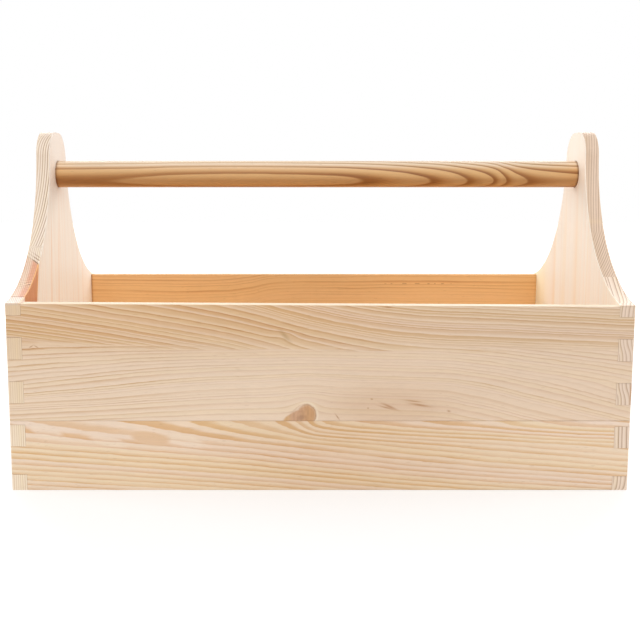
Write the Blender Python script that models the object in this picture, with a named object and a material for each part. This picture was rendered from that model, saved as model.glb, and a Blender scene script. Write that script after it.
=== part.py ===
"""Open wooden toolbox with finger-jointed walls, reverse-curve end panels and a round handle.

Sizes are in metres and +Z is up. The origin is on the floor under the middle of the box, +X runs
along the handle to the right-hand end, and the front wall faces -Y. The front and back walls are
one design turned half round, and so are the two end panels.
"""

import math

import bmesh
import bpy
from mathutils import Vector

# The box
BOX_LENGTH = 0.500
BOX_DEPTH = 0.275
WALL_HEIGHT = 0.1525
WALL_THICKNESS = 0.012
END_THICKNESS = 0.012
SEAM_HEIGHT = 0.0575  # the glue line between the two boards of a wall

# The end panels' outline, above the walls
END_HEIGHT = 0.294
TONGUE_WIDTH = 0.058
TONGUE_ROUNDING = 0.023
FLARE_RADIUS = 0.130
ARRIS = 0.0008  # how far the sawn outline's edges are sanded back
FLARE_FACETS = 28
ROUNDING_FACETS = 8

# The corners' finger joints, from the floor up: a base finger of the end panel, the wide finger
# of the wall that hides the bottom's groove, pairs of even fingers, and the end panel's top finger
BASE_FINGER = 0.012
GROOVE_FINGER = 0.0235
TOP_FINGER = 0.010
FINGER_PAIRS = 3

# The bottom panel, let into a groove all round
BOTTOM_THICKNESS = 0.004
GROOVE_DEPTH = 0.006
GROOVE_RISE = 0.004  # from the top of the base finger to the bottom panel's underside

# The handle, in a blind socket at each end
DOWEL_DIAMETER = 0.024
DOWEL_DROP = 0.0375  # from the top of the end panels down to the handle's axis
DOWEL_CHAMFER = 0.001
SOCKET_WEB = 0.006  # the wood that is left outside the socket
DOWEL_FACETS = 64

# The countersunk screw in each end of the handle
SCREW_LENGTH = 0.040
SCREW_DIAMETER = 0.004
SCREW_POINT = 0.006
HEAD_DIAMETER = 0.008
HEAD_RIM = 0.0004
HEAD_SINK = 0.0003
RECESS_SPAN = 0.0046
RECESS_WIDTH = 0.001
RECESS_DEPTH = 0.0014
SCREW_FACETS = 32

# Making
FIT = 0.0003  # the gap between pieces that touch
CUT_OVERRUN = 0.002  # how far a cut runs past the face that it opens
WELD = 0.000001
SMOOTH_ANGLE = math.radians(30)
HALF_TURN = math.pi

# Colours are linear
PINE_WALL = (0.72, 0.50, 0.30)
PINE_END = (0.80, 0.62, 0.44)
PINE_HANDLE = (0.52, 0.29, 0.11)
PLYWOOD = (0.74, 0.55, 0.36)
ZINC = (0.62, 0.60, 0.55)


def end_face():
    """The distance from the middle to an end panel's inner face."""
    return BOX_LENGTH / 2 - END_THICKNESS


def wall_face():
    """The distance from the middle to a wall's inner face."""
    return BOX_DEPTH / 2 - WALL_THICKNESS


def handle_height():
    return END_HEIGHT - DOWEL_DROP


def bottom_height():
    """The height of the bottom panel's underside."""
    return BASE_FINGER + GROOVE_RISE


def clear_scene():
    for old in list(bpy.data.objects):
        bpy.data.objects.remove(old, do_unlink=True)


def make_material(name, colour, roughness, metallic=0.0):
    material = bpy.data.materials.new(name)
    material.use_nodes = True
    shader = material.node_tree.nodes["Principled BSDF"]
    shader.inputs["Base Color"].default_value = (*colour, 1.0)
    shader.inputs["Roughness"].default_value = roughness
    shader.inputs["Metallic"].default_value = metallic
    material.diffuse_color = (*colour, 1.0)
    return material


def make_side(name, parent, half_round):
    """An empty at the middle of the box, turned half round for the back wall and the left end."""
    side = bpy.data.objects.new(name, None)
    bpy.context.scene.collection.objects.link(side)
    side.parent = parent
    side.rotation_euler.z = HALF_TURN if half_round else 0.0
    return side


def make_object(name, bm, parent, location, material=None):
    """A mesh object from a bmesh drawn about its own origin. With no material it is a cutter."""
    bmesh.ops.remove_doubles(bm, verts=bm.verts, dist=WELD)
    bmesh.ops.recalc_face_normals(bm, faces=bm.faces)
    mesh = bpy.data.meshes.new(name)
    bm.to_mesh(mesh)
    bm.free()
    mesh.shade_smooth()
    mesh.set_sharp_from_angle(angle=SMOOTH_ANGLE)
    piece = bpy.data.objects.new(name, mesh)
    bpy.context.scene.collection.objects.link(piece)
    piece.parent = parent
    piece.location = location
    if material:
        mesh.materials.append(material)
    else:
        piece.hide_render = True
        piece.display_type = "WIRE"
    return piece


def cut(piece, cutter):
    modifier = piece.modifiers.new(cutter.name, "BOOLEAN")
    modifier.operation = "DIFFERENCE"
    modifier.solver = "EXACT"
    modifier.object = cutter


def prism(outline, thickness, along):
    """A board with the given outline, extruded from zero by its thickness along X, Y or Z."""
    place = {
        "X": lambda across, up: (0.0, across, up),
        "Y": lambda across, up: (across, 0.0, up),
        "Z": lambda across, up: (across, up, 0.0),
    }[along]
    push = {
        "X": (thickness, 0.0, 0.0),
        "Y": (0.0, thickness, 0.0),
        "Z": (0.0, 0.0, thickness),
    }[along]
    bm = bmesh.new()
    bm.faces.new([bm.verts.new(place(*point)) for point in outline])
    bmesh.ops.remove_doubles(bm, verts=bm.verts, dist=WELD)
    pushed = bmesh.ops.extrude_face_region(bm, geom=bm.faces[:])["geom"]
    moved = [item for item in pushed if isinstance(item, bmesh.types.BMVert)]
    bmesh.ops.translate(bm, verts=moved, vec=push)
    return bm


def rectangle(width, height):
    """A rectangle's corners, about its middle."""
    return [
        (-width / 2, -height / 2),
        (width / 2, -height / 2),
        (width / 2, height / 2),
        (-width / 2, height / 2),
    ]


def turned(profile, facets):
    """A turned piece along X, from its profile of places along the axis and radii."""
    bm = bmesh.new()
    points = [bm.verts.new((along, 0.0, radius)) for along, radius in profile]
    edges = [bm.edges.new(pair) for pair in zip(points, points[1:])]
    bmesh.ops.spin(
        bm,
        geom=points + edges,
        cent=(0.0, 0.0, 0.0),
        axis=(1.0, 0.0, 0.0),
        angle=2 * math.pi,
        steps=facets,
        use_merge=True,
    )
    return bm


def arc(centre, radius, start, end, facets):
    """Points along an arc between two angles, both of its ends among them."""
    angles = [start + (end - start) * step / facets for step in range(facets + 1)]
    return [
        (centre[0] + radius * math.cos(angle), centre[1] + radius * math.sin(angle))
        for angle in angles
    ]


def mirrored(points):
    """An outline's right-hand half, followed by its left-hand half."""
    return points + [(-across, up) for across, up in reversed(points)]


def ease_arrises(bm, above, face_normal):
    """Sands back the edges of a board's two faces that lie at or above a height."""
    arrises = [
        edge
        for edge in bm.edges
        if all(vert.co.z > above - WELD for vert in edge.verts)
        and abs((edge.verts[1].co - edge.verts[0].co).dot(face_normal)) < WELD
    ]
    bmesh.ops.bevel(
        bm, geom=arrises, offset=ARRIS, offset_type="OFFSET", segments=1, affect="EDGES"
    )


def finger_levels():
    """The corner joint from the floor up: where each finger ends, and whose finger it is."""
    even = (WALL_HEIGHT - BASE_FINGER - GROOVE_FINGER - TOP_FINGER) / (2 * FINGER_PAIRS)
    heights = [(BASE_FINGER, "end"), (GROOVE_FINGER, "wall")]
    heights += [(even, "end"), (even, "wall")] * FINGER_PAIRS
    heights += [(TOP_FINGER, "end")]
    levels = []
    height = 0.0
    for finger, owner in heights:
        height += finger
        levels.append((height, owner))
    return levels


def fingered_side(owner, reach, hold_back, low, high):
    """One side of a board from its low edge up: fingers at full reach, notches held back.

    The other board's fingers lie in the notches with the fit all round them.
    """
    points = []
    start = low
    for level, held_by in finger_levels():
        mine = held_by == owner
        across = reach if mine else reach - hold_back - FIT
        stop = min(level - FIT / 2 if mine else level + FIT / 2, high)
        if stop > start:
            points += [(across, start), (across, stop)]
            start = stop
    return points[:-1] + [(points[-1][0], high)]


def wall_board(name, side, low, high, material):
    """One of the two boards of a wall, with fingers at both ends."""
    half = fingered_side("wall", BOX_LENGTH / 2, END_THICKNESS, low, high)
    bm = prism(mirrored([(across, up - low) for across, up in half]), WALL_THICKNESS, "Y")
    if high == WALL_HEIGHT:
        ease_arrises(bm, high - low, Vector((0.0, 1.0, 0.0)))
    return make_object(name, bm, side, (0.0, -BOX_DEPTH / 2, low), material)


def cut_wall_groove(board, side):
    """The bottom's groove in a wall, stopped inside the wide fingers so that no end shows."""
    length = 2 * (end_face() + GROOVE_DEPTH)
    height = BOTTOM_THICKNESS + 2 * FIT
    depth = GROOVE_DEPTH + CUT_OVERRUN
    groove = prism(rectangle(length, height), depth, "Y")
    front = -wall_face() - GROOVE_DEPTH
    middle = bottom_height() + BOTTOM_THICKNESS / 2
    cut(board, make_object(board.name + "_groove", groove, side, (0.0, front, middle)))


def make_wall(name, side, material):
    lower = wall_board(name + "_lower_board", side, 0.0, SEAM_HEIGHT - FIT / 2, material)
    cut_wall_groove(lower, side)
    wall_board(name + "_upper_board", side, SEAM_HEIGHT + FIT / 2, WALL_HEIGHT, material)


def flare_and_tongue():
    """The end panel's outline from a wall's rim up to the middle of the tongue's top.

    A hollow arc leaves the rim and meets the tongue's side, where a round arc turns in to the
    flat top. Where the panel is deeper than the hollow reaches, the outline starts level.
    """
    rounding = min(TONGUE_ROUNDING, TONGUE_WIDTH / 2)
    hollow_across = TONGUE_WIDTH / 2 + FLARE_RADIUS
    past_corner = max(hollow_across - BOX_DEPTH / 2, 0.0)
    hollow_up = WALL_HEIGHT + math.sqrt(FLARE_RADIUS**2 - past_corner**2)
    round_up = END_HEIGHT - rounding
    drop = max(hollow_up - round_up, 0.0)
    apart = FLARE_RADIUS + rounding
    round_across = hollow_across - math.sqrt(apart**2 - drop**2)
    corner = -math.acos(-past_corner / FLARE_RADIUS)
    shoulder = math.asin(drop / apart)
    hollow = arc(
        (hollow_across, hollow_up), FLARE_RADIUS, corner, shoulder - math.pi, FLARE_FACETS
    )
    round_top = arc(
        (round_across, round_up), rounding, shoulder, math.pi / 2, ROUNDING_FACETS
    )
    return hollow + round_top


def make_end(name, side, material):
    """An end panel with its fingers, the run-out groove, the handle's socket and the screw hole."""
    half = fingered_side("end", BOX_DEPTH / 2, WALL_THICKNESS, 0.0, WALL_HEIGHT)
    bm = prism(mirrored(half + flare_and_tongue()), END_THICKNESS, "X")
    ease_arrises(bm, WALL_HEIGHT, Vector((1.0, 0.0, 0.0)))
    end = make_object(name, bm, side, (end_face(), 0.0, 0.0), material)

    length = 2 * (wall_face() + CUT_OVERRUN)
    height = BOTTOM_THICKNESS + 2 * FIT
    groove = prism(rectangle(length, height), GROOVE_DEPTH + CUT_OVERRUN, "X")
    middle = bottom_height() + BOTTOM_THICKNESS / 2
    place = (end_face() - CUT_OVERRUN, 0.0, middle)
    cut(end, make_object(name + "_groove", groove, side, place))

    socket_floor = BOX_LENGTH / 2 - SOCKET_WEB
    socket_radius = DOWEL_DIAMETER / 2 + FIT
    mouth = end_face() - CUT_OVERRUN
    socket = turned(
        [
            (mouth - socket_floor, 0.0),
            (mouth - socket_floor, socket_radius),
            (0.0, socket_radius),
            (0.0, 0.0),
        ],
        DOWEL_FACETS,
    )
    cut(end, make_object(name + "_socket", socket, side, (socket_floor, 0.0, handle_height())))

    hole = turned(screw_profile(FIT, SOCKET_WEB + CUT_OVERRUN), SCREW_FACETS)
    cut(end, make_object(name + "_screw_hole", hole, side, screw_place()))


def make_bottom(parent, material):
    length = 2 * (end_face() + GROOVE_DEPTH - FIT)
    depth = 2 * (wall_face() + GROOVE_DEPTH - FIT)
    bm = prism(rectangle(length, depth), BOTTOM_THICKNESS, "Z")
    return make_object("bottom_panel", bm, parent, (0.0, 0.0, bottom_height()), material)


def make_handle(parent, material):
    """The dowel, from socket to socket, with its ends chamfered to enter them."""
    end = BOX_LENGTH / 2 - SOCKET_WEB - FIT
    radius = DOWEL_DIAMETER / 2
    half = [(end - DOWEL_CHAMFER, radius), (end, radius - DOWEL_CHAMFER), (end, 0.0)]
    profile = [(-along, across) for along, across in reversed(half)] + half
    bm = turned(profile, DOWEL_FACETS)
    return make_object("handle_dowel", bm, parent, (0.0, 0.0, handle_height()), material)


def screw_place():
    """The middle of the screw's head, from which it runs inwards along -X."""
    return (BOX_LENGTH / 2 - HEAD_SINK, 0.0, handle_height())


def screw_profile(clearance, length):
    """The screw's countersunk head and straight shank, or the hole for them.

    With a clearance the head's seat also opens outwards, past the panel's face.
    """
    head = HEAD_DIAMETER / 2 + clearance
    shank = SCREW_DIAMETER / 2 + clearance
    cone = head - shank
    opened = CUT_OVERRUN if clearance else 0.0
    return [
        (opened, 0.0),
        (opened, head),
        (-HEAD_RIM, head),
        (-HEAD_RIM - cone, shank),
        (-length, shank),
        (-length, 0.0),
    ]


def make_screw(name, side, material):
    """A countersunk wood screw with a pointed tip and a cross recess."""
    profile = screw_profile(0.0, SCREW_LENGTH - SCREW_POINT)[:-1] + [(-SCREW_LENGTH, 0.0)]
    screw = make_object(name, turned(profile, SCREW_FACETS), side, screw_place(), material)
    for slot, width, height in (
        ("_slot", RECESS_WIDTH, RECESS_SPAN),
        ("_cross_slot", RECESS_SPAN, RECESS_WIDTH),
    ):
        recess = prism(rectangle(width, height), RECESS_DEPTH + CUT_OVERRUN, "X")
        across, middle, up = screw_place()
        place = (across - RECESS_DEPTH, middle, up)
        cut(screw, make_object(name + slot, recess, side, place))


def drill_handle(handle, side):
    """The pilot hole for one side's screw, in the handle's end."""
    radius = SCREW_DIAMETER / 2 + FIT
    depth = SCREW_LENGTH + HEAD_SINK + FIT - SOCKET_WEB
    profile = [(-depth, 0.0), (-depth, radius), (CUT_OVERRUN, radius), (CUT_OVERRUN, 0.0)]
    end = BOX_LENGTH / 2 - SOCKET_WEB
    pilot = turned(profile, SCREW_FACETS)
    place = (end, 0.0, handle_height())
    cut(handle, make_object("pilot_" + side.name, pilot, side, place))


def main():
    clear_scene()
    wall_pine = make_material("pine_wall", PINE_WALL, 0.62)
    end_pine = make_material("pine_end", PINE_END, 0.62)
    handle_pine = make_material("pine_handle", PINE_HANDLE, 0.45)
    plywood = make_material("plywood", PLYWOOD, 0.65)
    zinc = make_material("zinc_steel", ZINC, 0.35, 1.0)

    box = make_side("toolbox", None, False)
    make_wall("front", make_side("front_side", box, False), wall_pine)
    make_wall("back", make_side("back_side", box, True), wall_pine)
    make_bottom(box, plywood)
    handle = make_handle(box, handle_pine)
    for name, half_round in (("right", False), ("left", True)):
        side = make_side(name + "_side", box, half_round)
        make_end(name + "_end_panel", side, end_pine)
        make_screw(name + "_handle_screw", side, zinc)
        drill_handle(handle, side)


main()
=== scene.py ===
"""Looks for the wooden toolbox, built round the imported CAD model.

Everything is in metres in the model's own frame: +X along the handle to the right-hand end, the
front wall towards -Y, +Z up, and the floor at zero. Every board is redrawn with close joints and
eased edges, and gets its own pine: growth rings, knots and fibres come from shader arithmetic.
Inside the shaders, lengths are in millimetres.
"""

import math

import bmesh
import bpy
from mathutils import Matrix, Vector

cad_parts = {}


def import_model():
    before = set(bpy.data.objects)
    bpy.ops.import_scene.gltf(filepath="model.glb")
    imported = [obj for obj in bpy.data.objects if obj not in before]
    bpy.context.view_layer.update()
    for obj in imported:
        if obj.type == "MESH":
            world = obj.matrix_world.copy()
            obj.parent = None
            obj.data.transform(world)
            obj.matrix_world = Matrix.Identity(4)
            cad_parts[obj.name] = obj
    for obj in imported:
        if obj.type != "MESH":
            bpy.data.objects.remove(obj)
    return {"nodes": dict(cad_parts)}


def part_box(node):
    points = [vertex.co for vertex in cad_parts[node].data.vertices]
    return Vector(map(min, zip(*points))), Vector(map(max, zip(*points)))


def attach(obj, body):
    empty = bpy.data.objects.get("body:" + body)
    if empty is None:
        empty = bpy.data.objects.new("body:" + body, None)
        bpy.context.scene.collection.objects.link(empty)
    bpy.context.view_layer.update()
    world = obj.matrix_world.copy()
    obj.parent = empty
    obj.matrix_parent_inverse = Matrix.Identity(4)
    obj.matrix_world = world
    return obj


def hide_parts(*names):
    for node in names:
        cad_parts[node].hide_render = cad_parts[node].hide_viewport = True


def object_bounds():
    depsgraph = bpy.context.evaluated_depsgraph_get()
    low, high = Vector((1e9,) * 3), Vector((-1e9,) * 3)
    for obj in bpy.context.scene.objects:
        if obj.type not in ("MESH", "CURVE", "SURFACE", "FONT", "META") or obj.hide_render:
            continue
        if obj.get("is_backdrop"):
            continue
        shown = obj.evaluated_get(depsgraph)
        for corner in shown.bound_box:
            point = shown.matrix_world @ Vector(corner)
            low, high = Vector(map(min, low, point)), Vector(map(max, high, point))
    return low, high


# The corner joints and the end panels' outline, as the CAD model has them
BASE_FINGER = 0.012
GROOVE_FINGER = 0.0235
TOP_FINGER = 0.010
FINGER_PAIRS = 3
TONGUE_WIDTH = 0.058
TONGUE_ROUNDING = 0.023
FLARE_RADIUS = 0.130
SOCKET_WEB = 0.006
SCREW_HEAD_DIAMETER = 0.008

# How finely the curves and the dowel's length are divided
FLARE_FACETS = 64
ROUNDING_FACETS = 28
DOWEL_FACETS = 128
DOWEL_STATIONS = 24
SCREW_FACETS = 48

# The real joints are closer than the CAD model's
GLUE_LINE = 0.00012
SOCKET_GAP = 0.00025

# Where the real box is out of true: the left corners' fingers are cut a little too high and the
# right ones too low, and the front rim falls from its left end to its right. The end panels'
# front corners follow it, from CORNER_REACH away from the panels' middle.
LEFT_JOINT_RISE = 0.0010
RIGHT_JOINT_RISE = -0.0005
FRONT_RIM_RISE = 0.0006
FRONT_RIM_FALL = 0.0019
LEFT_CORNER_RISE = 0.0007
RIGHT_CORNER_RISE = -0.0012
CORNER_REACH = 0.085

# How far the edges are rounded
OUTLINE_EASE = 0.0010
RIM_EASE = 0.0007
CORNER_EASE = 0.00045
JOINT_EASE = 0.00015
EASE_SEGMENTS = 3
SHARP_ANGLE = math.radians(30)

# What cutters reach past a surface, and what lengths may differ by and still be the same
CUT_OVERRUN = 0.002
TINY = 0.00001

# Some rings are rosier and some more golden than the rest, and the grain stands up by a hair
ROSY_TINT = (0.992, 0.972, 0.99)
GOLDEN_TINT = (0.99, 0.972, 0.87)
GRAIN_RELIEF = 0.0001
HANDLE_RELIEF = 0.00006
ZINC_RELIEF = 0.00002

# The studio. What the floor adds for the eye alone grows from NEAR_LIFT to FAR_LIFT between
# NEAR_REACH and FAR_REACH, in millimetres from the middle.
SKY_STRENGTH = 0.62
FLOOR_GREY = 0.6
FLOOR_REACH = 6.0
NEAR_LIFT = 0.40
FAR_LIFT = 0.85
NEAR_REACH = 500.0
FAR_REACH = 1600.0

# What the lamps aim at, and each one's place, size and power. The last two are on both
# sides, and given for the right.
LAMP_TARGET = (0.0, 0.0, 0.15)
FRONT_LAMP = ((0.0, -1.8, 1.5), 1.4, 18.2)
SIDE_LAMP = ((1.5, 0.0, 0.55), 0.9, 7.5)
REAR_LAMP = ((0.7, 1.1, 0.9), 0.8, 7.5)

# The photograph's view, fitted to the box's outline, inside corners and handle
PHOTO_WIDTH_PIXELS = 640
FOCAL_PIXELS = 942.177
CENTRE_PIXEL = 295.233
SENSOR_MILLIMETRES = 36.0
CAMERA_PLACE = (-0.01996, -0.878589, 0.242473)
CAMERA_TURN = math.radians(-0.0077)
CAMERA_NOD = math.radians(-7.8864)


def linear(red, green, blue):
    """A colour as a screen shows it, from 0 to 255, turned into linear light."""
    parts = []
    for part in (red, green, blue):
        share = part / 255
        parts.append(share / 12.92 if share <= 0.04045 else ((share + 0.055) / 1.055) ** 2.4)
    return tuple(parts)


class Num:
    """A number in a shader's tree, with arithmetic that adds the nodes for it."""

    def __init__(self, tree, socket):
        self.tree = tree
        self.socket = socket

    def __add__(self, other):
        return self.tree.math("ADD", self, other)

    __radd__ = __add__

    def __sub__(self, other):
        return self.tree.math("SUBTRACT", self, other)

    def __rsub__(self, other):
        return self.tree.math("SUBTRACT", other, self)

    def __mul__(self, other):
        return self.tree.math("MULTIPLY", self, other)

    __rmul__ = __mul__

    def __truediv__(self, other):
        return self.tree.math("DIVIDE", self, other)

    def __neg__(self):
        return self.tree.math("MULTIPLY", self, -1.0)


class ShaderTree:
    """Builds one material's nodes. Its x, y and z are in millimetres.

    A colour written here as three numbers is what a screen shows, from 0 to 255.
    """

    def __init__(self, name):
        self.material = bpy.data.materials.new(name)
        self.material.use_nodes = True
        self.nodes = self.material.node_tree.nodes
        self.links = self.material.node_tree.links
        self.surface = self.nodes["Principled BSDF"]
        coordinates = self.nodes.new("ShaderNodeTexCoord")
        split = self.nodes.new("ShaderNodeSeparateXYZ")
        self.links.new(coordinates.outputs["Object"], split.inputs[0])
        self.x, self.y, self.z = (Num(self, out) * 1000.0 for out in split.outputs)

    def feed(self, value, socket):
        if isinstance(value, Num):
            self.links.new(value.socket, socket)
        elif isinstance(value, bpy.types.NodeSocket):
            self.links.new(value, socket)
        elif isinstance(value, tuple):
            socket.default_value = (*linear(*value), 1.0)
        else:
            socket.default_value = value

    def math(self, operation, *values, clamp=False):
        node = self.nodes.new("ShaderNodeMath")
        node.operation = operation
        node.use_clamp = clamp
        for value, socket in zip(values, node.inputs):
            self.feed(value, socket)
        return Num(self, node.outputs[0])

    def clamp(self, value):
        return self.math("ADD", value, 0.0, clamp=True)

    def hypot(self, one, other):
        return self.math("SQRT", one * one + other * other)

    def step(self, value, low, high, at_low=0.0, at_high=1.0):
        """A smooth step between two values, in either direction."""
        node = self.nodes.new("ShaderNodeMapRange")
        node.interpolation_type = "SMOOTHSTEP"
        for given, socket in zip((value, low, high, at_low, at_high), node.inputs):
            self.feed(given, socket)
        return Num(self, node.outputs[0])

    def bell(self, value, centre, width):
        """One at the centre, falling smoothly to nothing a few widths away."""
        away = (value - centre) * (1.0 / width)
        return self.math("EXPONENT", -(away * away))

    def curve(self, value, points):
        """A smooth curve through points, each a place and a height, level outside them."""
        low, high = points[0][0], points[-1][0]
        heights = [height for _, height in points]
        base, span = min(heights), max(heights) - min(heights)
        node = self.nodes.new("ShaderNodeFloatCurve")
        line = node.mapping.curves[0]
        for _ in points[2:]:
            line.points.new(0.5, 0.5)
        for index, (place, height) in enumerate(points):
            line.points[index].location = ((place - low) / (high - low), (height - base) / span)
            line.points[index].handle_type = "AUTO"
        node.mapping.update()
        self.feed(self.clamp((value - low) * (1.0 / (high - low))), node.inputs["Value"])
        return Num(self, node.outputs[0]) * span + base

    def vector(self, x, y, z):
        node = self.nodes.new("ShaderNodeCombineXYZ")
        for given, socket in zip((x, y, z), node.inputs):
            self.feed(given, socket)
        return node.outputs[0]

    def noise(self, *place, detail=2.0, roughness=0.5):
        """Noise about zero, mostly between -0.5 and 0.5. The place's numbers are in its cells."""
        node = self.nodes.new("ShaderNodeTexNoise")
        node.inputs["Scale"].default_value = 1.0
        node.inputs["Detail"].default_value = detail
        node.inputs["Roughness"].default_value = roughness
        if len(place) == 1:
            node.noise_dimensions = "1D"
            self.feed(place[0], node.inputs["W"])
        else:
            self.links.new(self.vector(*(*place, 0.0)[:3]), node.inputs["Vector"])
        return Num(self, node.outputs[0]) - 0.5

    def chance(self, value):
        """A number from 0 to 1 that jumps with each whole value."""
        node = self.nodes.new("ShaderNodeTexWhiteNoise")
        node.noise_dimensions = "1D"
        self.feed(value, node.inputs["W"])
        return Num(self, node.outputs[0])

    def blend(self, share, one, other):
        """The first number at a share of 0, the second at 1."""
        return (other - one) * share + one

    def mix(self, share, one, other, mode="MIX"):
        node = self.nodes.new("ShaderNodeMix")
        node.data_type = "RGBA"
        node.blend_type = mode
        self.feed(share, node.inputs["Factor"])
        self.feed(one, node.inputs["A"])
        self.feed(other, node.inputs["B"])
        return node.outputs["Result"]

    def shade(self, colour, value):
        """A colour made lighter or darker by a number about one."""
        node = self.nodes.new("ShaderNodeVectorMath")
        node.operation = "SCALE"
        self.links.new(colour, node.inputs[0])
        self.feed(value, node.inputs["Scale"])
        return node.outputs[0]

    def finish(self, colour, roughness, height, relief=GRAIN_RELIEF):
        self.feed(colour, self.surface.inputs["Base Color"])
        self.feed(roughness, self.surface.inputs["Roughness"])
        bump = self.nodes.new("ShaderNodeBump")
        bump.inputs["Strength"].default_value = 1.0
        bump.inputs["Distance"].default_value = relief
        self.feed(height, bump.inputs["Height"])
        self.links.new(bump.outputs[0], self.surface.inputs["Normal"])
        return self.material


def latewood(tree, rings, start=0.1, line_start=0.6, spread=0.6, full=0.88):
    """How far a growth ring has turned golden, how strong its dark line is, and its tint.

    The first two grow outwards from the pale early wood and stop short at the next ring.
    """
    share = tree.math("FRACT", rings)
    number = tree.math("FLOOR", rings)
    end = tree.step(share, 0.90, 1.0, 1.0, 0.0)
    soft = tree.step(share, start, full) * end
    line = tree.step(share, line_start, 0.90) * end
    soft = soft * (tree.chance(number) * spread + (1.0 - spread))
    line = line * (tree.chance(number + 0.37) * spread + (1.0 - spread))
    return soft, line, tree.chance(number + 0.71)


def fibres(tree, along, across, deep):
    """Fine streaks that run with the grain, about zero."""
    long = tree.noise(along * 0.018, across * 0.75, deep * 0.75, roughness=0.6)
    short = tree.noise(along * 0.16, across * 2.0, deep * 2.0, detail=1.0)
    broad = tree.noise(along * 0.06, across * 0.32, deep * 0.32, detail=1.0)
    return long * 0.7 + short * 0.8 + broad * 0.45


def dashes(tree, along, across, deep, seed):
    """Short dark resin ducts that run with the grain, from 0 to 1."""
    spots = tree.noise(along * 0.16 + seed, across * 1.3, deep * 1.3, detail=0.0)
    return tree.step(spots, 0.25, 0.35)


def log_rings(tree, along, across, deep, pith, pitch, seed, sway=9.0, ripple=1.6):
    """Ring numbers of a board sawn from a log whose pith lies beside it, wandering a little."""
    left_right = tree.noise(along * 0.004 + seed, detail=1.0) * sway
    in_out = tree.noise(along * 0.003 + seed + 40.0, detail=1.0) * sway * 1.5
    radius = tree.hypot(across - pith[0] + left_right, deep - pith[1] + in_out)
    wave = tree.noise(along * 0.008 + seed, across * 0.04, deep * 0.04) * ripple
    even = (radius + wave) * (1.0 / pitch)
    return even + tree.noise(even * 0.4 + seed, detail=0.0) * 1.4


def pine(tree, wood, along, across, deep, colours, seed, grain=1.0):
    """Finishes a pine surface from its early wood's, golden wood's and dark line's colours."""
    soft, line, tint = wood
    early, golden, late = colours
    streaks = fibres(tree, along, across, deep) * grain
    tone = tree.noise(along * 0.007 + seed, across * 0.03, deep * 0.03)
    colour = tree.mix(tree.clamp(soft), early, golden)
    colour = tree.mix(tree.clamp(line), colour, late)
    tinted = [tree.blend(tint, rose, gold) for rose, gold in zip(ROSY_TINT, GOLDEN_TINT)]
    colour = tree.mix(1.0, colour, tree.vector(*tinted), "MULTIPLY")
    colour = tree.shade(colour, 1.03 + streaks * 0.15 + tone * 0.08)
    rough = 0.55 - line * 0.08 + streaks * 0.1
    height = line * 0.5 + streaks
    return colour, rough, height


def around(tree, x, z, centre, radius):
    """A height whose level lines part round a knot, as water does round a post."""
    up = z - centre[1]
    side = x - centre[0]
    reach = tree.math("MAXIMUM", side * side + up * up, radius**2)
    return up - up * (radius**2) / reach + centre[1]


def stroke(tree, x, z, start, end, width):
    """A short pointed mark between two points, from 0 to 1."""
    run, rise = end[0] - start[0], end[1] - start[1]
    length = math.hypot(run, rise)
    along = ((x - start[0]) * run + (z - start[1]) * rise) * (1.0 / length)
    across = ((z - start[1]) * run - (x - start[0]) * rise) * (1.0 / length)
    middle = length / 2
    return tree.bell(along, middle, middle * 0.75) * tree.bell(across, 0.0, width)


def oval(tree, x, z, centre, radii, lean=0.0):
    """How far out a place is from an oval's middle: 1 on the oval itself."""
    cos, sin = math.cos(math.radians(lean)), math.sin(math.radians(lean))
    side, up = x - centre[0], z - centre[1]
    along = (side * cos + up * sin) * (1.0 / radii[0])
    across = (up * cos - side * sin) * (1.0 / radii[1])
    return tree.hypot(along, across)


def add_knot(tree, x, z, colour):
    """The knot over the glue line, with its tail towards the lower left."""
    ragged = tree.noise(x * 0.35, z * 0.35) * 0.25
    body = oval(tree, x, z, (-10.9, 62.6), (7.9, 8.8))
    tail = oval(tree, x, z, (-20.0, 60.8), (13.0, 4.6), 30.0)
    inside = tree.step(tree.math("MINIMUM", body, tail) + ragged, 1.12, 0.74)
    fan = tree.noise(x * 0.55, z * 0.16, detail=3.0)
    warm = tree.step(x + fan * 6.0, -19, -8)
    brown = tree.mix(warm, (205, 158, 122), (203, 152, 102))
    brown = tree.mix(tree.step(x, -22, -27), brown, (216, 170, 116))
    brown = tree.mix(tree.clamp(fan * 1.4 + 0.1), brown, (156, 106, 66))
    core = tree.step(oval(tree, x, z, (-15.0, 60.4), (4.6, 3.0), 20.0) + ragged, 1.1, 0.2)
    brown = tree.mix(core * 0.45, brown, (134, 88, 52))
    colour = tree.mix(inside * 0.9, colour, brown)
    right = tree.step(x + z * 0.5, 17.5, 25.0)
    rim = tree.bell(body + ragged * 0.5, 0.95, 0.07) * right
    colour = tree.mix(rim * 0.55, colour, (168, 118, 76))
    # A painted highlight round the knot's right side
    painted_knot_highlight = tree.bell(body + ragged * 0.5, 1.16, 0.10) * right
    return tree.mix(painted_knot_highlight * 0.5, colour, (246, 228, 200))


def slanting_rings(tree, x, z, deep, sway, shiver, half):
    """The front's rings near the rim: down to the right, steepest in the middle, with a whorl."""
    fall = [(-half, 0), (-230, -2.5), (-200, -6.9), (-150, -15), (-100, -23.4), (-75, -28.2)]
    fall += [(-50, -34.2), (-25, -41.5), (0, -47.8), (25, -53), (50, -57), (75, -59.7)]
    fall += [(100, -61.5), (150, -63.5), (200, -65.6), (half, -68)]
    whorl = tree.bell(x, -29, 9) * tree.bell(z, 127, 5)
    height = z - tree.curve(x, fall) + deep * 0.6 + sway + shiver - whorl * 3.0
    numbers = [(96, 0), (150, 21), (156, 22.6), (178, 27), (186, 29.6), (240, 51)]
    rings = tree.curve(height, numbers)
    rings = rings + tree.noise(rings * 0.45, detail=0.0) * 1.1
    return latewood(tree, rings, 0.02, 0.6, 0.7, 0.5)


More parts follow.
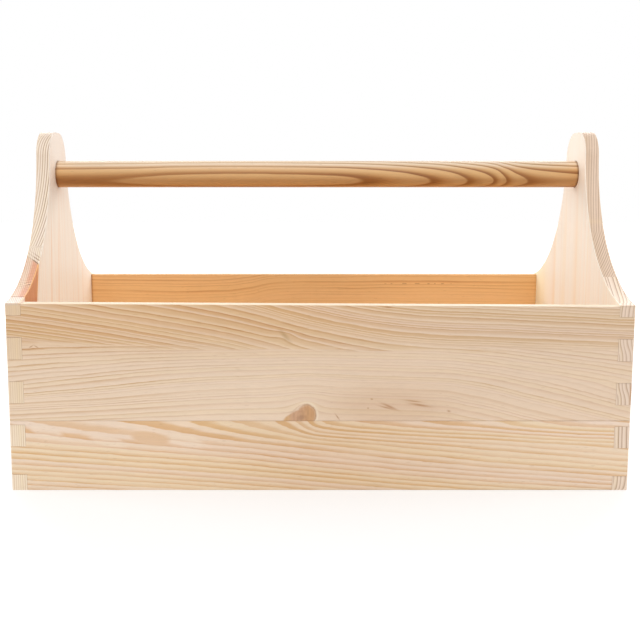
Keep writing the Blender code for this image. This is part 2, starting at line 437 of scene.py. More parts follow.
def fine_rings(tree, x, z, deep, sway, shiver, half):
    """The front's finer rings below, which open out to the left and sink to the right."""
    flow = around(tree, x, z, (-11.2, 62.6), 8.5)
    left = tree.curve(x, [(-half, 1), (-180, 0.62), (-120, 0.25), (-60, 0.05), (half, 0)])
    right = tree.curve(x, [(-half, 0), (90, 0.02), (120, 0.15), (170, 0.5), (half, 1)])
    opening = [(57, -6), (70, -10), (82, -14), (94, -11), (106, -6), (118, 0), (132, 9)]
    opening += [(153, 12)]
    sink = [(57, 34), (75, 30), (95, 20), (114, 14), (132, 8), (153, 4)]
    level = flow - left * tree.curve(z, opening) + right * tree.curve(z, sink)
    level = level + deep * 0.4 + sway * 0.8 + shiver
    rings = tree.curve(level, [(30, 0), (57, 4), (75, 8.3), (95, 15.2), (130, 29), (170, 45)])
    rings = rings + tree.noise(rings * 0.45 + 9.0, detail=0.0) * 1.1
    return latewood(tree, rings, 0.2, 0.6, 0.85)


def front_upper_wood(tree, x, z, deep, half):
    """The two kinds of rings, which meet along a ragged line."""
    sway = tree.noise(x * 0.011, z * 0.045, deep * 0.05) * 2.4
    shiver = tree.noise(x * 0.045, z * 0.25, deep * 0.2) * 0.9
    shiver = shiver + tree.noise(x * 0.12, z * 0.5, deep * 0.4) * 0.5
    uneven = tree.noise(x * 0.02 + 7.0, z * 0.14, deep * 0.1)
    place = x, z, deep, sway, shiver, half
    upper_soft, upper_line, upper_tint = slanting_rings(tree, *place)
    lower_soft, lower_line, lower_tint = fine_rings(tree, *place)
    upper_line = upper_line * (uneven * 1.2 + 0.65)
    crisp = [(-half, 1.5), (-150, 1.35), (-80, 0.7), (60, 0.6), (170, 0.9), (half, 0.75)]
    crisp = tree.curve(x, crisp)
    lower_soft = lower_soft * (uneven * 0.6 + 0.55) * crisp
    lower_line = lower_line * (uneven * 1.4 + 0.6) * crisp

    meet = tree.curve(x, [(-half, 7), (-120, 2), (-20, 0), (half, 1)])
    ragged = tree.noise(x * 0.013 + 5.0, z * 0.45, deep * 0.3) * 18.0
    above = tree.step(z - meet + sway * 1.5 + ragged, 112, 121)
    soft = tree.blend(above, lower_soft, upper_soft)
    line = tree.blend(above, lower_line, upper_line)
    return soft, line, tree.blend(above, lower_tint * 0.6, upper_tint)


def front_upper_colours(tree, x, z, half):
    """A deep tan above, browner at the left, and pinkish and pale below."""
    tan = [(57, 0.0), (100, 0.12), (112, 0.4), (124, 0.75), (136, 1.0), (153, 1.0)]
    tan = tree.curve(z, tan)
    warm = [(-half, 0.85), (-140, 1.0), (-60, 1.0), (20, 0.6), (120, 0.1), (half, 0.0)]
    warm = tree.curve(x, warm)
    dull = tree.bell(x, 55, 50) * tree.bell(z, 68, 18) + tree.step(x, -60, 60) * 0.3

    def toned(pale, dulled, cool, warmed):
        return tree.mix(tan, tree.mix(dull, pale, dulled), tree.mix(warm, cool, warmed))

    early = toned((233, 211, 187), (219, 192, 165), (227, 204, 180), (226, 196, 164))
    golden = toned((220, 190, 157), (213, 179, 147), (205, 170, 132), (206, 162, 112))
    late = toned((198, 158, 116), (192, 150, 108), (184, 138, 96), (184, 128, 74))
    return early, golden, late


def front_marks(tree, x, z, deep):
    """Resin ducts and small flecks, from 0 to 1."""
    flecks = [((48, 73.0), (64, 66.0), 0.8), ((69, 72.8), (91, 69.0), 0.8)]
    flecks += [((46, 70.6), (60, 66.8), 0.5), ((66, 75.0), (84, 73.0), 0.5)]
    flecks += [((40.5, 75.9), (42.8, 75.3), 0.5), ((37.8, 68.4), (39.6, 68.0), 0.5)]
    flecks += [((102.0, 66.2), (105.5, 65.4), 0.6), ((12.0, 64.0), (16.4, 57.8), 0.4)]
    flecks += [((50.0, 150.2), (58.0, 149.9), 0.5), ((-232.5, 117.2), (-228.5, 119.6), 0.4)]
    flecks += [((-228.5, 119.6), (-224.0, 117.0), 0.4)]
    marks = dashes(tree, x, z, deep, 11.0) * 0.22
    for start, end, width in flecks:
        marks = marks + stroke(tree, x, z, start, end, width * 1.15) * 0.85
    return tree.clamp(marks)


def front_upper_pine(box):
    """The front's upper board: slanting rings above, fine pale ones below, and a knot."""
    tree = ShaderTree("front_upper_pine")
    x, z = tree.x, tree.z
    deep = tree.y + box.depth * 1000
    half = box.reach * 1000
    wood = front_upper_wood(tree, x, z, deep, half)
    colours = front_upper_colours(tree, x, z, half)
    colour, rough, relief = pine(tree, wood, x, z, deep, colours, 3.0)
    colour = tree.shade(colour, tree.curve(z, [(57, 1.05), (80, 1.03), (110, 1.0), (153, 1.0)]))

    # A painted highlight: the rim's top and its eased edge are made nearly white
    slope = (FRONT_RIM_RISE + FRONT_RIM_FALL) / (2 * box.reach)
    above = z + (x + half) * slope - (box.rim + FRONT_RIM_RISE) * 1000
    colour = tree.mix(tree.step(above, -0.6, -0.2) * 0.75, colour, (255, 238, 212))

    # The whorl's grey-brown spot
    spot = tree.bell((z - 127) + (x + 28) * 0.9, 0.0, 2.4) * tree.bell(x, -28, 4.5)
    colour = tree.mix(spot * 0.55, colour, (172, 134, 84))
    colour = add_knot(tree, x, z, colour)
    marks = front_marks(tree, x, z, deep)
    colour = tree.mix(marks * 0.8, colour, (172, 116, 64))
    return tree.finish(colour, rough, relief)


def front_lower_pine(box):
    """The front's lower board: broad soft rings that fan out where they meet the glue line."""
    tree = ShaderTree("front_lower_pine")
    x, z = tree.x, tree.z
    deep = tree.y + box.depth * 1000
    half = box.reach * 1000
    sway = tree.noise(x * 0.012 + 3.0, z * 0.06, deep * 0.05) * 0.5
    shiver = tree.noise(x * 0.05, z * 0.3, deep * 0.2) * 0.22
    shiver = shiver + tree.noise(x * 0.12, z * 0.5, deep * 0.4) * 0.16
    uneven = tree.noise(x * 0.015 + 2.0, z * 0.12, deep * 0.1)
    rise = tree.curve(z, [(0, 0), (35, 8.1), (46, 9.9), (57.5, 11.0)])
    low = tree.curve(x, [(-half, -0.3), (-80, 2.5), (80, 6.1), (half, 9.2)])
    seam = [(-half, -0.25), (-237, 0), (-167, 1), (-110, 2), (-70, 3), (-36, 4), (-20, 5)]
    seam += [(-10, 6), (1, 7), (28, 8), (80, 9), (138, 10), (177, 11), (half, 12.2)]
    near_seam = tree.step(z, 36, 57)
    rings = -(rise + tree.blend(near_seam, low, tree.curve(x, seam))) + sway + shiver
    soft, line, tint = latewood(tree, rings - deep * 0.12, 0.25, 0.62, 0.5, 0.66)
    broad = tree.step(z, 34, 52)
    soft = soft * (uneven * 0.8 + 0.7) + soft * broad * 0.6
    line = line * (uneven * 1.6 + 0.5) * (1.0 - broad * 0.5)

    # Pale lenses and a tan one, where the rings run nearly level with the face
    lenses = [((-221, 49), (15, 5.2), -14.0), ((-171, 40.8), (17, 4.4), -12.0)]
    lenses += [((-108, 41), (16, 5.2), -14.0)]
    pale = 0.0
    for lens in lenses:
        pale = tree.step(oval(tree, x, z, *lens), 1.15, 0.65) + pale
    tanned = tree.step(oval(tree, x, z, (-137, 43), (17, 6.0), -10.0), 1.1, 0.7)
    soft = soft * (1.0 - pale * 0.8) * (1.0 - tanned) + tanned * 0.75
    wood = soft, line * (1.0 - tanned), tint
    deeper = tree.bell(x, 15, 110)
    early = tree.mix(deeper, (240, 218, 195), (231, 205, 178))
    early = tree.mix(tree.clamp(pale) * 0.3, early, (245, 228, 203))
    golden = tree.mix(deeper, (226, 188, 145), (213, 172, 127))
    late = tree.mix(deeper, (214, 163, 110), (203, 150, 97))
    colour, rough, relief = pine(tree, wood, x, z, deep, (early, golden, late), 5.0)
    colour = tree.shade(colour, tree.bell(x, -90.0, 120.0) * 0.035 + 1.0)
    marks = dashes(tree, x, z, deep, 23.0) * 0.3
    colour = tree.mix(marks, colour, (176, 126, 78))
    return tree.finish(colour, rough, relief)


def back_pine(box):
    """The back wall's boards: painted deeper orange inside as shade and bounce light, plain pine
    outside.
    """
    tree = ShaderTree("back_pine")
    x, z = tree.x, tree.z
    deep = tree.y - box.wall_inner * 1000
    half, corner = box.reach * 1000, box.inner * 1000 - 0.5
    sway = tree.noise(x * 0.012 + 9.0, z * 0.05, deep * 0.05) * 4.0
    climb = tree.curve(x, [(-half, 0), (-120, -1), (-70, 2), (-10, 9), (half, 8)])
    rings = (z - climb + deep * 0.5 + sway) * (1 / 3.6)
    rings = rings + tree.noise(rings * 0.5 + 3.0, detail=0.0) * 1.4
    soft, line, tint = latewood(tree, rings, 0.2, 0.62, 0.8)
    uneven = tree.noise(x * 0.012, z * 0.06)
    clear = [(0, 1.0), (100, 1.0), (118, 0.35), (126, 0.35), (139, 1.0), (153, 1.0)]
    clear = tree.curve(z, clear)
    wood = soft * (uneven + 0.6) * clear, line * (uneven * 1.5 + 0.5) * clear, tint * 0.5
    # Inside, the colours are painted a deeper orange for shade and warm bounce light
    outside = tree.step(deep, 2.0, 9.0)
    early = tree.mix(outside, (240, 194, 134), (228, 203, 172))
    golden = tree.mix(outside, (222, 164, 100), (212, 175, 132))
    late = tree.mix(outside, (184, 120, 62), (190, 142, 94))
    colour, rough, relief = pine(tree, wood, x, z, deep, (early, golden, late), 9.0)
    colour = tree.shade(colour, 1.0 - tree.bell(x, -10.0, 110.0) * 0.11)

    # A broken scratch under the rim, resin ducts, and a painted shade line in each inside corner
    inside = tree.step(deep, 0.8, 0.2)
    marks = tree.bell(z, 142.7, 0.35) * tree.step(tree.noise(x * 0.14), 0.0, 0.1)
    marks = marks * tree.step(x, 70, 78) * tree.step(x, 150, 145) * inside
    marks = marks + dashes(tree, x, z, deep, 31.0) * 0.35
    corners = tree.bell(x, -corner, 1.0) * 0.8 + tree.bell(x, corner, 1.2) * 0.2
    marks = marks + corners * inside
    colour = tree.mix(tree.clamp(marks) * 0.7, colour, (150, 88, 42))
    return tree.finish(colour, rough, relief)


def panel_zones(tree, deep, inner, outer):
    """How far a place is on an end panel's sawn edge, and how far in the panel's outer half."""
    out = math.copysign(1.0, outer)
    edge = tree.step(deep, inner + out * 0.2, inner + out)
    edge = edge * tree.step(deep, outer - out * 0.2, outer - out)
    middle = (inner + outer) / 2
    return edge, tree.step(deep, middle - out * 2.0, middle + out * 2.0)


def panel_face_rings(tree, along, across, deep, pith, seed):
    """The broad rings on an end panel's faces."""
    rings = log_rings(tree, along, across, deep, pith, 7.0, seed, sway=5.0)
    return latewood(tree, rings, 0.2, 0.6, 0.9)


def left_end_pine(box):
    """The left end panel: pale staves, and a salmon streak of heartwood near the front."""
    tree = ShaderTree("left_end_pine")
    deep, across, along = tree.x, tree.y, tree.z
    inner, outer = -box.inner * 1000, -box.reach * 1000

    # On the sawn edge the rings stand upright, and lean over where the outline flares
    wave = tree.noise(along * 0.012, across * 0.05) * 0.8
    edge_rings = (deep - (across + 29.0) * 0.33 + wave) * (1 / 2.1)
    fine = (deep * 1.3 + across * 0.6 + wave) * (1 / 2.3)
    turn = tree.step(across, -62.0, -64.0)
    edge_rings = tree.blend(turn, edge_rings, fine)
    edge_soft, edge_line, tint = latewood(tree, edge_rings, 0.2, 0.5, 0.5)
    edge, outside = panel_zones(tree, deep, inner, outer)
    face_soft, face_line, _ = panel_face_rings(tree, along, across, deep, (120, -420), 12.0)
    stronger = tree.step(deep, outer + 1.0, inner - 2.0, 0.35, 1.1)
    upright = edge * tree.blend(turn, stronger, 0.35)
    plain = (outside + 0.5) * (1.0 - edge)
    soft = face_soft * plain * 0.7 + edge_soft * edge * 0.8
    line = face_line * plain * 0.24 + edge_line * upright

    # The heartwood lies in front of a slanting line, and a pale stave in front of it
    slant = across + (deep - outer) * 0.58 + tree.noise(along * 0.03)
    slant = slant + tree.math("MAXIMUM", 182.0 - along, 0.0) * 0.3
    heart = tree.step(slant, -70.4, -71.0) * tree.step(across, -124.0, -122.0)
    heart = heart * (1.0 - outside * 0.65)
    pale = tree.step(across, -122.0, -124.0)
    front = tree.step(across, -136.6, -137.2)
    face = tree.mix(outside, (240, 233, 218), (229, 206, 176))
    sapwood = tree.mix(edge, face, (239, 225, 208))
    early = tree.mix(heart, sapwood, (224, 168, 138))
    cream = tree.bell(across - tree.noise(along * 0.3) * 6.0, -101.0, 4.5) * edge
    early = tree.mix(cream * 0.7, early, (238, 214, 184))
    early = tree.mix(pale, early, (232, 218, 208))
    higher = tree.step(along, 10.0, 150.0)
    tall = tree.mix(higher, (250, 234, 208), (226, 200, 166))
    early = tree.mix(front, early, tall)
    early = tree.mix(front * tree.step(along, 150.5, 153.0), early, (214, 194, 174))
    tan = tree.mix(outside, (238, 216, 190), (218, 186, 146))
    golden = tree.mix(heart, tree.mix(edge, tan, (216, 190, 158)), (212, 150, 114))
    golden = tree.mix(front, golden, (222, 194, 160))
    late = tree.mix(outside, (226, 188, 148), (196, 150, 102))
    late = tree.mix(edge, late, (150, 108, 74))
    late = tree.mix(heart, late, (150, 88, 60))
    late = tree.mix(front, late, (196, 164, 128))

    # Dark lines behind the heartwood, and curls in it
    for place, strength in ((-65.0, 0.5), (-67.5, 0.8), (-70.2, 1.2)):
        line = line + tree.bell(slant, place, 0.45) * (1.0 - outside * 0.7) * strength
    curl = across * 0.3 + tree.noise(deep * 0.16, across * 0.1, along * 0.05) * 2.2
    curls = tree.bell(tree.math("FRACT", curl), 0.5, 0.14) * (cream * 0.9 + 0.12)
    line = line * (1.0 - heart * 0.8) + heart * curls * edge
    line = line + tree.bell(across, -121.6, 0.6) * edge * 0.8
    wood = soft, line * (1.0 - front * 0.55), tint * edge * 0.5
    colours = early, golden, late
    colour, rough, relief = pine(tree, wood, along, across, deep, colours, 13.0, 0.6)

    # Golden stripes between the staves, a paler rear inside that is painted bounce light off the
    # back wall, a greyer top inside, and the heartwood's wet faces with a painted highlight along
    # their eased edge
    lean = (along - 142.0) * 0.10
    band = tree.bell(across - lean, -39.0, 1.3) * 0.7
    band = band + tree.bell(across - lean, -13.0, 3.0) * 0.35
    for place in (43.0, 63.0, 85.0):
        band = band + tree.bell(across, place, 1.2) * 0.25
    band = band * (tree.noise(along * 0.02, detail=1.0) + 0.9) * tree.step(along, 235.0, 180.0)
    colour = tree.mix(tree.clamp(band), colour, (230, 178, 122))
    # Painted bounce light: the rear of the inner face is made paler
    rear = tree.step(across, 60.0, 120.0) * (1.0 - edge) * (1.0 - outside)
    colour = tree.mix(rear * 0.9, colour, (255, 245, 232))
    wedge = heart * (1.0 - edge)
    wet = tree.noise(along * 0.05, across * 0.3, detail=3.0) * 0.8 + 0.75
    colour = tree.mix(wedge * tree.clamp(wet), colour, (190, 118, 70))
    # Painted highlight where the eased inner edge catches the light, and along the wedge's border
    painted_edge_highlight = tree.bell(deep, inner - 0.7, 0.5) * tree.step(slant, -69.0, -71.0)
    painted_edge_highlight = painted_edge_highlight + wedge * tree.step(slant, -73.6, -71.0) * 0.6
    painted_edge_highlight = painted_edge_highlight * tree.step(along, 150.0, 155.0)
    colour = tree.mix(painted_edge_highlight * 0.8, colour, (246, 188, 116))
    high = tree.step(along, 215.0, 262.0) * (1.0 - edge) * (1.0 - outside * 0.8)
    colour = tree.mix(high * 0.8, colour, (228, 213, 200))
    return tree.finish(colour, rough, relief)


def right_end_pine(box):
    """The right end panel: staves with fine slanting rings on the sawn edge."""
    tree = ShaderTree("right_end_pine")
    deep, across, along = tree.x, tree.y, tree.z
    inner, outer = box.inner * 1000, box.reach * 1000

    # On the sawn edge: the tongue's rings, the flare's, and those of the stave at the front
    wave = tree.noise(along * 0.008, across * 0.05, deep * 0.05) * 1.2
    tongue = (deep - (across + 29.0) * 0.2 + wave) * (1 / 2.2)
    flare = (deep - across * 0.72 + wave) * (1 / 2.1)
    low = tree.step(across, -50.0, -56.0)
    middle_soft, middle_line, _ = latewood(tree, tongue, 0.1, 0.55, 0.8)
    flare_soft, flare_line, _ = latewood(tree, flare, 0.2, 0.5, 0.6)
    front = log_rings(tree, along, across, deep, (-82, 60), 2.9, 32.0, sway=4.0, ripple=1.0)
    lean = [(0, 0.9), (14, 0), (56, 0), (72, -0.5), (90, 0.5), (106, -0.4), (126, 0.7), (153, 0)]
    front = front + tree.curve(along, lean)
    front_soft, front_line, tint = latewood(tree, front, 0.3, 0.66, 0.4)
    clear = [(0, 0.5), (12, 0.5), (33, 0.85), (56, 0.85), (68, 0.5), (92, 0.5), (105, 0.3)]
    clear += [(146, 0.4), (158, 1.0)]
    front_line = front_line * tree.curve(along, clear)
    glued = tree.step(across, -90.8, -91.2)
    edge_soft = tree.blend(glued, tree.blend(low, middle_soft, flare_soft), front_soft)
    behind = tree.blend(low, middle_line * 0.65, flare_line * 0.7)
    edge_line = tree.blend(glued, behind, front_line)
    edge, outside = panel_zones(tree, deep, inner, outer)
    face_soft, face_line, _ = panel_face_rings(tree, along, across, deep, (90, 420), 42.0)
    soft = tree.blend(edge, face_soft * (outside + 0.5) * 0.7, edge_soft)
    line = tree.blend(edge, face_line * (outside + 0.5) * 0.24, edge_line)

    nose = tree.step(across, -136.6, -137.2)
    shadow = edge * tree.step(deep, inner + 9.0, inner + 1.0) * (1.0 - glued)
    face = tree.mix(outside, (247, 241, 226), (229, 206, 176))
    early = tree.mix(edge, face, (225, 202, 178))
    early = tree.mix(glued * edge, early, (240, 221, 202))
    early = tree.mix(shadow * 0.5, early, (208, 182, 152))
    early = tree.mix(nose, early, (230, 209, 188))
    early = tree.mix(nose * tree.step(along, 110.0, 10.0), early, (241, 221, 199))
    early = tree.mix(nose * tree.step(along, 149.0, 152.0), early, (216, 194, 168))
    golden = tree.mix(outside, (249, 228, 202), (218, 186, 146))
    golden = tree.mix(edge, golden, (204, 176, 147))
    late = tree.mix(outside, (230, 192, 154), (196, 150, 102))
    late = tree.mix(edge, late, (152, 116, 90))
    wood = soft, line, tint * glued * 0.5
    colours = early, golden, late
    colour, rough, relief = pine(tree, wood, along, across, deep, colours, 17.0, 0.6)

    # Golden stripes between the staves, a lighter rear inside that is painted bounce light off the
    # back wall, a lighter top inside, and one dark streak
    band = tree.bell(across, 57.0, 5.0) * 0.3 + tree.bell(across, 25.0, 7.0) * 0.25
    band = band + tree.bell(across, -14.0, 8.0) * 0.25 + tree.bell(across, -47.0, 1.2) * 0.3
    band = band + tree.step(across, 88.0, 96.0) * 0.3
    patchy = tree.noise(along * 0.02 + 5.0, detail=1.0) + 0.9
    band = band * patchy * tree.step(along, 250.0, 190.0)
    colour = tree.mix(tree.clamp(band) * 0.8, colour, (250, 218, 162))
    # Painted bounce light: the rear of the inner face is made lighter
    rear = tree.step(across, 60.0, 120.0) * (1.0 - edge) * (1.0 - outside)
    colour = tree.mix(rear * 0.95, colour, (255, 246, 215))
    streak = tree.bell(deep, outer - 0.4, 0.9) * tree.bell(along, 80.0, 9.0) * nose
    colour = tree.mix(streak * 0.8, colour, (186, 132, 84))
    high = tree.step(along, 225.0, 270.0) * (1.0 - edge) * (1.0 - outside * 0.8)
    colour = tree.mix(high * 0.6, colour, (244, 229, 214))
    return tree.finish(colour, rough, relief)


def handle_pine(box):
    """The dowel, whose rings come out on its front as a row of pointed arches."""
    tree = ShaderTree("handle_pine")
    x = tree.x
    half, socket = box.reach * 1000, box.inner * 1000 - 0.6
    out, up = -tree.y, tree.z - box.handle * 1000
    tip = math.radians(-32)
    toward = out * math.cos(tip) + up * math.sin(tip)
    beside = up * math.cos(tip) - out * math.sin(tip)
    tilt = [(-half, -2.4), (-215, -2.0), (-172, -1.55), (-130, -0.5), (-70, 0.0), (-10, -0.5)]
    tilt += [(37, -1.55), (101, -6.15), (136, -10.75), (160, -15.35), (172, -19.95)]
    tilt += [(191, -24.55), (215, -26.6), (half, -28)]
    sway = tree.noise(x * 0.02, toward * 0.1, beside * 0.1) * 0.7
    rings = (toward + tree.curve(x, tilt) + sway - 10.45) * (1 / 4.6)
    soft, line, tint = latewood(tree, rings + beside * beside * 0.0006, 0.2, 0.58, 0.3)
    # Painted highlight from above: the dowel's top is paler, and its ring lines are fainter there
    light = tree.step(up, 3.0, 9.5)
    early = tree.mix(light, (214, 171, 116), (234, 212, 187))
    golden = tree.mix(light, (166, 108, 42), (204, 168, 124))
    late = (132, 80, 30)
    crisp = tree.curve(x, [(-half, 0.4), (-60, 0.5), (60, 0.85), (half, 0.85)]) - light * 0.25
    wood = soft, line * crisp, tint * 0.5
    colours = early, golden, late
    colour, rough, relief = pine(tree, wood, x, toward, beside, colours, 29.0)
    # Painted shade and warm bounce light: the underside is more orange, and a darker band runs
    # below the middle
    under = tree.step(up, -7.0, -11.5)
    colour = tree.mix(under * 0.45, colour, (210, 146, 70))
    colour = tree.mix(tree.bell(up, -6.0, 3.2) * 0.42, colour, (152, 92, 34))
    # Resin ducts, and a painted contact shadow ring where the dowel enters each end panel
    marks = dashes(tree, x, toward, beside, 41.0) * 0.3
    marks = marks + (tree.bell(x, -socket, 0.9) + tree.bell(x, socket, 0.9)) * 0.75
    colour = tree.mix(tree.clamp(marks) * 0.8, colour, (110, 62, 28))
    return tree.finish(colour, rough - 0.08, relief, HANDLE_RELIEF)


def plywood():
    tree = ShaderTree("plywood")
    place = tree.x, tree.y, tree.z
    soft, line, tint = latewood(tree, log_rings(tree, *place, (20, -90), 11.0, 7.0))
    colours = (232, 200, 152), (216, 178, 128), (200, 156, 104)
    colour, rough, relief = pine(tree, (soft * 0.5, line * 0.4, tint), *place, colours, 7.0)
    return tree.finish(colour, rough, relief)


def zinc():
    tree = ShaderTree("zinc")
    marks = tree.noise(tree.x * 0.9, tree.y * 0.9, tree.z * 0.9, detail=3.0)
    tree.surface.inputs["Metallic"].default_value = 1.0
    colour = tree.mix(tree.clamp(marks + 0.5), (150, 148, 142), (182, 179, 170))
    return tree.finish(colour, marks * 0.2 + 0.34, marks, ZINC_RELIEF)


def add_object(name, data):
    piece = bpy.data.objects.new(name, data)
    bpy.context.scene.collection.objects.link(piece)
    return piece


def to_mesh(name, bm):
    bmesh.ops.recalc_face_normals(bm, faces=bm.faces)
    mesh = bpy.data.meshes.new(name)
    bm.to_mesh(mesh)
    bm.free()
    return mesh


def prism(outline, low, high, along):
    """A board of the given outline between two places along X or Y."""

    def place(across, up, at):
        return (at, across, up) if along == "X" else (across, at, up)

    bm = bmesh.new()
    near = [bm.verts.new(place(*point, low)) for point in outline]
    far = [bm.verts.new(place(*point, high)) for point in outline]
    bm.faces.new(near)
    bm.faces.new(list(reversed(far)))
    count = len(outline)
    for index in range(count):
        after = (index + 1) % count
        bm.faces.new((near[index], far[index], far[after], near[after]))
    return bm


def lathe(profile, facets):
    """A turned shape about X, from places along it and radii. It starts and ends on the axis."""
    bm = bmesh.new()
    rings = []
    for along, radius in profile:
        turns = [2 * math.pi * step / facets for step in range(facets if radius else 1)]
        places = [(along, radius * math.sin(turn), radius * math.cos(turn)) for turn in turns]
        rings.append([bm.verts.new(place) for place in places])
    for one, other in zip(rings, rings[1:]):
        for step in range(facets):
            after = (step + 1) % facets
            corners = [one[step % len(one)], other[step % len(other)]]
            corners += [other[after % len(other)], one[after % len(one)]]
            bm.faces.new(list(dict.fromkeys(corners)))
    return bm


def arc(across, up, radius, start, end, facets):
    turns = [start + (end - start) * step / facets for step in range(facets + 1)]
    return [(across + radius * math.cos(turn), up + radius * math.sin(turn)) for turn in turns]


def carve(piece, cutters):
    """Cuts shapes out of a piece for good, and clears them away."""
    for cutter in cutters:
        modifier = piece.modifiers.new(cutter.name, "BOOLEAN")
        modifier.operation = "DIFFERENCE"
        modifier.solver = "EXACT"
        modifier.object = cutter
    seen = piece.evaluated_get(bpy.context.evaluated_depsgraph_get())
    carved = bpy.data.meshes.new_from_object(seen)
    piece.modifiers.clear()
    plain = piece.data
    piece.data = carved
    bpy.data.meshes.remove(plain)
    for cutter in cutters:
        bpy.data.meshes.remove(cutter.data)


def ease(piece, amounts):
    """Rounds edges. Each edge is rounded by the width that amounts() gives for its ends."""
    mesh = piece.data
    widest = max(OUTLINE_EASE, RIM_EASE)
    weights = mesh.attributes.new("bevel_weight_edge", "FLOAT", "EDGE")
    for edge, weight in zip(mesh.edges, weights.data):
        ends = [mesh.vertices[index].co for index in edge.vertices]
        weight.value = amounts(*ends) / widest
    bevel = piece.modifiers.new("eased", "BEVEL")
    bevel.limit_method = "WEIGHT"
    bevel.width = widest
    bevel.segments = EASE_SEGMENTS
    bevel.harden_normals = True
    mesh.shade_smooth()
    mesh.set_sharp_from_angle(angle=SHARP_ANGLE)


class Box:
    """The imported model's sizes. Reach, inner, depth and wall inner count from the middle."""

    def __init__(self):
        low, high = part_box("left_end_panel")
        self.reach = -low.x
        self.inner = -high.x
        self.depth = high.y
        self.top = high.z
        low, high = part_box("front_upper_board")
        self.seam = low.z
        self.rim = high.z
        self.wall = self.depth + high.y
        self.wall_inner = self.depth - self.wall
        low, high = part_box("handle_dowel")
        self.handle = (low.z + high.z) / 2
        self.handle_radius = (high.z - low.z) / 2


def finger_levels(box):
    """Where each finger ends, and whether it is a wall's or an end panel's."""
    even = (box.rim - BASE_FINGER - GROOVE_FINGER - TOP_FINGER) / (2 * FINGER_PAIRS)
    fingers = [(BASE_FINGER, "end"), (GROOVE_FINGER, "wall")]
    fingers += [(even, "end"), (even, "wall")] * FINGER_PAIRS
    fingers += [(TOP_FINGER, "end")]
    level = 0.0
    for height, owner in fingers:
        level += height
        yield level, owner


def fingered_side(box, owner, reach, held_back, low, high, rise):
    """One side of a board, from its low edge to its high edge."""
    points = []
    start = low
    for level, held_by in finger_levels(box):
        level += 0.0 if same(level, box.rim) else rise
        mine = held_by == owner
        across = reach if mine else reach - held_back - GLUE_LINE
        stop = min(level - GLUE_LINE / 2 if mine else level + GLUE_LINE / 2, high)
        if stop > start:
            points += [(across, start), (across, stop)]
            start = stop
    return points[:-1] + [(points[-1][0], high)]


def both_sides(right, left):
    """An outline from its right side and from its left side, drawn as if it were the right one."""
    return right + [(-across, up) for across, up in reversed(left)]


def same(value, other):
    return abs(value - other) < TINY


def make_board(box, name, node, back, low, high, material):
    """A board of the front or back wall."""
    thick = box.reach - box.inner
    rim = same(high, box.rim)
    sloped = rim and not back
    right_top = high - FRONT_RIM_FALL if sloped else high
    left_top = high + FRONT_RIM_RISE if sloped else high
    right = fingered_side(box, "wall", box.reach, thick, low, right_top, RIGHT_JOINT_RISE)
    left = fingered_side(box, "wall", box.reach, thick, low, left_top, LEFT_JOINT_RISE)
    outer = box.depth if back else -box.depth
    inner = box.wall_inner if back else -box.wall_inner
    outline = both_sides(right, left)
    piece = add_object(name, to_mesh(name, prism(outline, outer, inner, "Y")))

    def amount(one, other):
        level = same(one.z, other.z)
        flat = same(one.y, other.y)
        if flat and rim and min(one.z, other.z) > right_top - TINY:
            return RIM_EASE if abs(one.x - other.x) > box.reach else 0.0
        if flat and level and same(one.z, 0.0):
            return CORNER_EASE
        outside = same(one.y, outer)
        if flat and outside and same(abs(one.x), box.reach) and same(abs(other.x), box.reach):
            return CORNER_EASE
        seam = level and (same(one.z, low) or same(one.z, high))
        if flat and (outside or seam):
            return JOINT_EASE
        return 0.0

    ease(piece, amount)
    piece.data.materials.append(material)
    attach(piece, "root")
    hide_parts(node)


def flare_and_tongue(box):
    """The end panel's outline from a wall's rim up to the tongue's flat top."""
    hollow_across = TONGUE_WIDTH / 2 + FLARE_RADIUS
    past_corner = max(hollow_across - box.depth, 0.0)
    hollow_up = box.rim + math.sqrt(FLARE_RADIUS**2 - past_corner**2)
    round_up = box.top - TONGUE_ROUNDING
    drop = max(hollow_up - round_up, 0.0)
    apart = FLARE_RADIUS + TONGUE_ROUNDING
    round_across = hollow_across - math.sqrt(apart**2 - drop**2)
    corner = -math.acos(-past_corner / FLARE_RADIUS)
    shoulder = math.asin(drop / apart)
    hollow = arc(hollow_across, hollow_up, FLARE_RADIUS, corner, shoulder - math.pi, FLARE_FACETS)
    tip = arc(round_across, round_up, TONGUE_ROUNDING, shoulder, math.pi / 2, ROUNDING_FACETS)
    return hollow + tip[1:]


